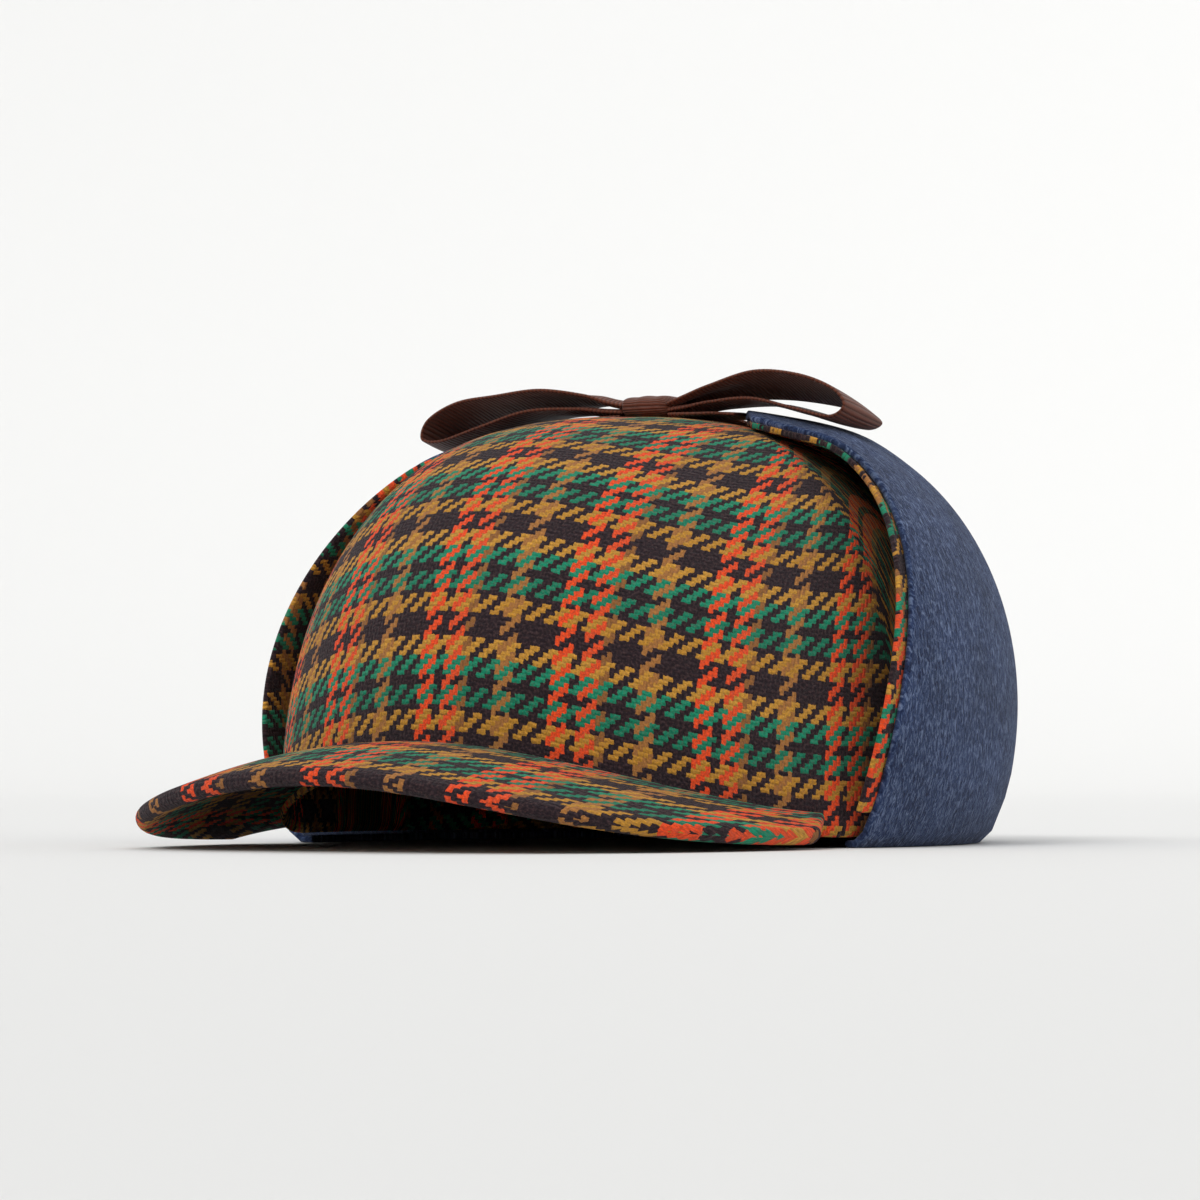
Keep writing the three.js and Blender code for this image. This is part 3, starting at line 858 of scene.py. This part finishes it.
@dataclass
class Bow:
    """The ribbon bow on the crown's top: two ties, two loops, two tails and the knot."""

    dome: Dome
    bow_y: float = 12.0
    loop_rows: dict[Side, tuple[tuple[float, ...], ...]] = field(
        default_factory=lambda: {
            # x, y from the bow's line, z of the back edge, width, lift of the front edge
            Side.LEFT: (
                (6.5, 0.0, 113.9, 12.5, 0.0),
                (12.0, 0.0, 114.9, 14.5, 0.6),
                (20.0, 0.0, 115.7, 17.0, 2.2),
                (34.0, 0.0, 115.3, 21.0, 5.6),
                (47.0, 0.0, 113.2, 22.0, 6.2),
                (57.0, 0.0, 110.3, 22.0, 5.0),
                (60.5, 0.0, 107.3, 22.0, 3.2),
                (56.0, 0.0, 105.8, 22.0, 1.6),
                (46.0, 0.0, 109.2, 22.0, 0.6),
                (33.0, 0.0, 112.7, 20.0, 0.4),
                (20.0, 0.0, 112.9, 16.0, 0.2),
                (12.0, 0.0, 112.2, 14.0, 0.0),
                (6.5, 0.0, 111.8, 12.5, 0.0),
            ),
            Side.RIGHT: (
                (6.5, 0.0, 113.9, 12.5, 0.0),
                (11.5, 0.0, 114.8, 14.0, 0.4),
                (18.0, 0.0, 115.9, 16.0, 1.4),
                (30.0, 0.0, 115.0, 20.0, 4.2),
                (43.0, 0.0, 113.0, 22.0, 5.2),
                (55.0, 0.0, 110.9, 22.0, 6.0),
                (64.0, 0.0, 107.4, 22.0, 5.2),
                (66.0, 0.0, 103.6, 22.0, 3.6),
                (60.0, 0.0, 103.8, 22.0, 2.2),
                (48.0, 0.0, 108.5, 22.0, 0.6),
                (34.0, 0.0, 112.4, 20.0, 0.4),
                (20.0, 0.0, 112.9, 16.0, 0.2),
                (12.0, 0.0, 112.2, 14.0, 0.0),
                (6.5, 0.0, 111.8, 12.5, 0.0),
            ),
        }
    )
    tie_rows: tuple[tuple[float, ...], ...] = (
        # x, y, height over the crown, width; the outer end is sewn into the seam of the flap's tip
        (26.5, 14.0, 3.2, 20.0),
        (21.0, 13.4, 2.6, 19.0),
        (14.0, 12.0, 1.8, 17.0),
        (7.0, 12.0, 1.7, 13.0),
    )
    tail_rows: tuple[tuple[float, ...], ...] = (
        (7.0, 20.5, 3.4, 11.5),
        (8.8, 27.0, 2.5, 14.5),
        (10.0, 34.0, 2.0, 17.0),
        (14.0, 48.0, 1.7, 20.0),
        (17.0, 61.5, 1.6, 20.0),
    )
    knot_half: tuple[float, float, float] = (7.6, 8.5, 3.2)
    knot_z: float = 113.1

    def on_crown(self, rows: tuple[tuple[float, ...], ...]) -> np.ndarray:
        """Turns rows of height over the crown to rows of height over the floor."""
        table = np.array(rows)
        x, y = table[:, 0], table[:, 1] + self.dome.middle_y
        z = self.dome.height_at(x, y) + table[:, 2]
        return np.stack([x, y, z, table[:, 3], 0 * x], axis=1)

    def build_loop(self, side: Side, grosgrain: bpy.types.Material) -> bpy.types.Object:
        """Makes a loop, out from the knot and back to it."""
        rows = np.array(self.loop_rows[side])
        rows[:, 1] += self.bow_y + self.dome.middle_y
        ribbon = Ribbon(rows, steps=230, pleat=0.8, pleated_end=True)
        return ribbon.build("bow_loop", side, f"bow_loop_{side.word}", grosgrain)

    def build_tie(self, side: Side, grosgrain: bpy.types.Material) -> bpy.types.Object:
        """Makes the tie, from the knot down to a flap's tip."""
        rows = self.on_crown(self.tie_rows)[::-1].copy()
        ribbon = Ribbon(rows, steps=70, pleat=0.7, pleat_run=9.0)
        return ribbon.build("ribbon_tie", side, f"ribbon_tie_{side.word}", grosgrain)

    def build_tail(self, side: Side, grosgrain: bpy.types.Material) -> bpy.types.Object:
        """Makes a tail that lies on the back of the crown, its end cut on a slant.

        Its width lies along X, so it is worked out as a ribbon along X and turned by a quarter.
        """
        rows = self.on_crown(self.tail_rows)
        turned = rows.copy()
        turned[:, 0], turned[:, 1] = rows[:, 1], -rows[:, 0]
        ribbon = Ribbon(turned, steps=90, pleat=0.7, pleat_run=10.0, fork=5.0)
        faces, cloth = ribbon.faces()
        placed = []
        for face in faces:
            back = face.copy()
            back[..., 0], back[..., 1] = -face[..., 1] * side.value, face[..., 0]
            placed.append(back)
        piece = sheet(f"bow_tail_{side.word}", tuple(placed), cloth, grosgrain)
        return finish_piece(piece, "ribbon", f"bow_tail_{side.word}")

    def build_knot(self, grosgrain: bpy.types.Material) -> bpy.types.Object:
        """Makes the knot: a band wrapped round X, with two soft pleats and drawn-in sides.

        Its section is a superellipse in Y and Z, and its sides close towards the loops.
        """
        width, length, height = self.knot_half
        share = np.linspace(-1, 1, 61)
        turn = np.linspace(0, 2 * math.pi, 141)
        along, round_ = np.meshgrid(share, turn, indexing="ij")
        closing = np.sqrt(np.clip(1 - np.abs(along) ** 7, 0, 1))
        belly = 1 - 0.10 * along**2 + 0.030 * np.cos(along * math.pi * 3.0)
        power = 2 / 2.7
        y = np.sign(np.cos(round_)) * np.abs(np.cos(round_)) ** power
        z = np.sign(np.sin(round_)) * np.abs(np.sin(round_)) ** power
        drawn = belly * closing
        points = np.stack(
            [
                along * width + 0.35 * np.sin(round_ * 2),
                self.bow_y + self.dome.middle_y + length * y * drawn,
                self.knot_z + height * z * drawn,
            ],
            axis=-1,
        )
        rows, columns = points.shape[:2]
        numbers = np.arange(rows * columns).reshape(rows, columns)
        corners = [numbers[:-1, :-1], numbers[1:, :-1], numbers[1:, 1:], numbers[:-1, 1:]]
        faces = np.stack(corners, -1).reshape(-1, 4)
        cloth = np.stack([along * width, round_ * (length + height) / 2], axis=-1).reshape(-1, 2)
        piece = write_mesh("bow_knot_wrap", points.reshape(-1, 3), faces, cloth, grosgrain)
        return finish_piece(piece, "ribbon", "bow_knot")


# ---------------------------------------------------------------- the studio


@dataclass
class Studio:
    """A pale floor that rises behind, soft lights and a camera low in front of the hat, to its left."""

    azimuth: float = math.radians(30)
    elevation: float = math.radians(-2.6)
    distance: float = 1.0
    lens: float = 118.0
    target: Vector = field(default_factory=lambda: Vector((0.0, 0.0, 0.062)))
    flat_reach: float = 3.0  # metres from the hat to where the floor begins to rise
    far_reach: float = 6.0
    rise: float = 0.45
    floor_drop: float = 0.00002

    def direction(self, azimuth: float, elevation: float) -> Vector:
        """The unit direction from the hat to a place round it."""
        level = math.cos(elevation)
        return Vector((math.sin(azimuth) * level, -math.cos(azimuth) * level, math.sin(elevation)))

    def build_camera(self) -> None:
        """Makes the camera and points it at the middle of the hat."""
        data = bpy.data.cameras.new("camera")
        data.lens = self.lens
        data.clip_start = 0.02
        data.clip_end = 40.0
        camera = bpy.data.objects.new("camera", data)
        back = self.direction(self.azimuth, self.elevation)
        camera.location = self.target + back * self.distance
        camera.rotation_euler = (-back).to_track_quat("-Z", "Y").to_euler()
        bpy.context.scene.collection.objects.link(camera)
        bpy.context.scene.camera = camera

    def build_floor(self) -> None:
        """Makes the floor, matt card that is flat under the hat and curves up far away.

        Its section is flat at first, and then rises by the square of the way further out.
        """
        radius = np.concatenate([[0.0, 0.5, 1.5], np.linspace(self.flat_reach, self.far_reach, 40)])
        height = np.maximum(radius - self.flat_reach, 0) ** 2 * self.rise
        turn = np.linspace(0, 2 * math.pi, 97)
        points = np.stack(
            [
                radius[:, None] * np.cos(turn)[None, :],
                radius[:, None] * np.sin(turn)[None, :],
                height[:, None] + 0 * turn[None, :],
            ],
            axis=-1,
        )
        rows, columns = points.shape[:2]
        numbers = np.arange(rows * columns).reshape(rows, columns)
        corners = [numbers[:-1, :-1], numbers[1:, :-1], numbers[1:, 1:], numbers[:-1, 1:]]
        mesh = bpy.data.meshes.new("floor")
        faces = np.stack(corners, -1).reshape(-1, 4)
        mesh.from_pydata(points.reshape(-1, 3).tolist(), [], faces.tolist())
        mesh.shade_smooth()
        card = bpy.data.materials.new("matt_card_white")
        card.use_nodes = True
        shader = card.node_tree.nodes["Principled BSDF"]
        shader.inputs["Base Color"].default_value = linear("#E2E2E1")
        shader.inputs["Roughness"].default_value = 0.9
        shader.inputs["Specular IOR Level"].default_value = 0.1
        mesh.materials.append(card)
        floor = bpy.data.objects.new("floor", mesh)
        floor.location.z = -self.floor_drop
        bpy.context.scene.collection.objects.link(floor)

    def add_light(
        self, name: str, azimuth: float, elevation: float, away: float, size: float, power: float
    ) -> None:
        """Adds a square softbox that faces the hat."""
        data = bpy.data.lights.new(name, "AREA")
        data.size = size
        data.energy = power
        light = bpy.data.objects.new(name, data)
        back = self.direction(math.radians(azimuth), math.radians(elevation))
        light.location = self.target + back * away
        light.rotation_euler = (-back).to_track_quat("-Z", "Y").to_euler()
        bpy.context.scene.collection.objects.link(light)

    def add_key(self, azimuth: float, elevation: float, spread: float, strength: float) -> None:
        """Adds a broad far light that falls alike on the hat, the floor and the card behind."""
        data = bpy.data.lights.new("key", "SUN")
        data.energy = strength
        data.angle = math.radians(spread)
        light = bpy.data.objects.new("key", data)
        back = self.direction(math.radians(azimuth), math.radians(elevation))
        light.rotation_euler = (-back).to_track_quat("-Z", "Y").to_euler()
        bpy.context.scene.collection.objects.link(light)

    def build_lights(self) -> None:
        """Lights the hat as a studio does: a key from the front left, a fill and a top light."""
        world = bpy.data.worlds.new("studio")
        world.use_nodes = True
        sky = world.node_tree.nodes["Background"]
        sky.inputs[0].default_value = linear("#F6F6F6")
        sky.inputs[1].default_value = 0.95
        bpy.context.scene.world = world
        self.add_key(-5, 38, 30, 1.5)
        self.add_light("fill", 75, 18, 1.8, 0.9, 2)
        self.add_light("top", 20, 80, 1.6, 1.0, 1.5)
        bpy.context.scene.view_settings.view_transform = "Standard"


def main() -> None:
    """Builds the camera, the hat's pieces in order, and the studio round them."""
    logging.basicConfig(level=logging.INFO, format="%(name)s: %(message)s")
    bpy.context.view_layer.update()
    studio = Studio()
    studio.build_camera()
    tweed = Tweed().material()
    wool = MelangeWool().material()
    grosgrain = Grosgrain().material()
    dome = Dome()
    Crown(dome).build(tweed)
    Peak(dome).build(tweed)
    bow = Bow(dome)
    for side in Side:
        flap = EarFlap(dome, side)
        flap.build_cover(wool)
        flap.build_facing(tweed)
        bow.build_tie(side, grosgrain)
        bow.build_loop(side, grosgrain)
        bow.build_tail(side, grosgrain)
    bow.build_knot(grosgrain)
    studio.build_floor()
    studio.build_lights()


if __name__ == "__main__":
    main()
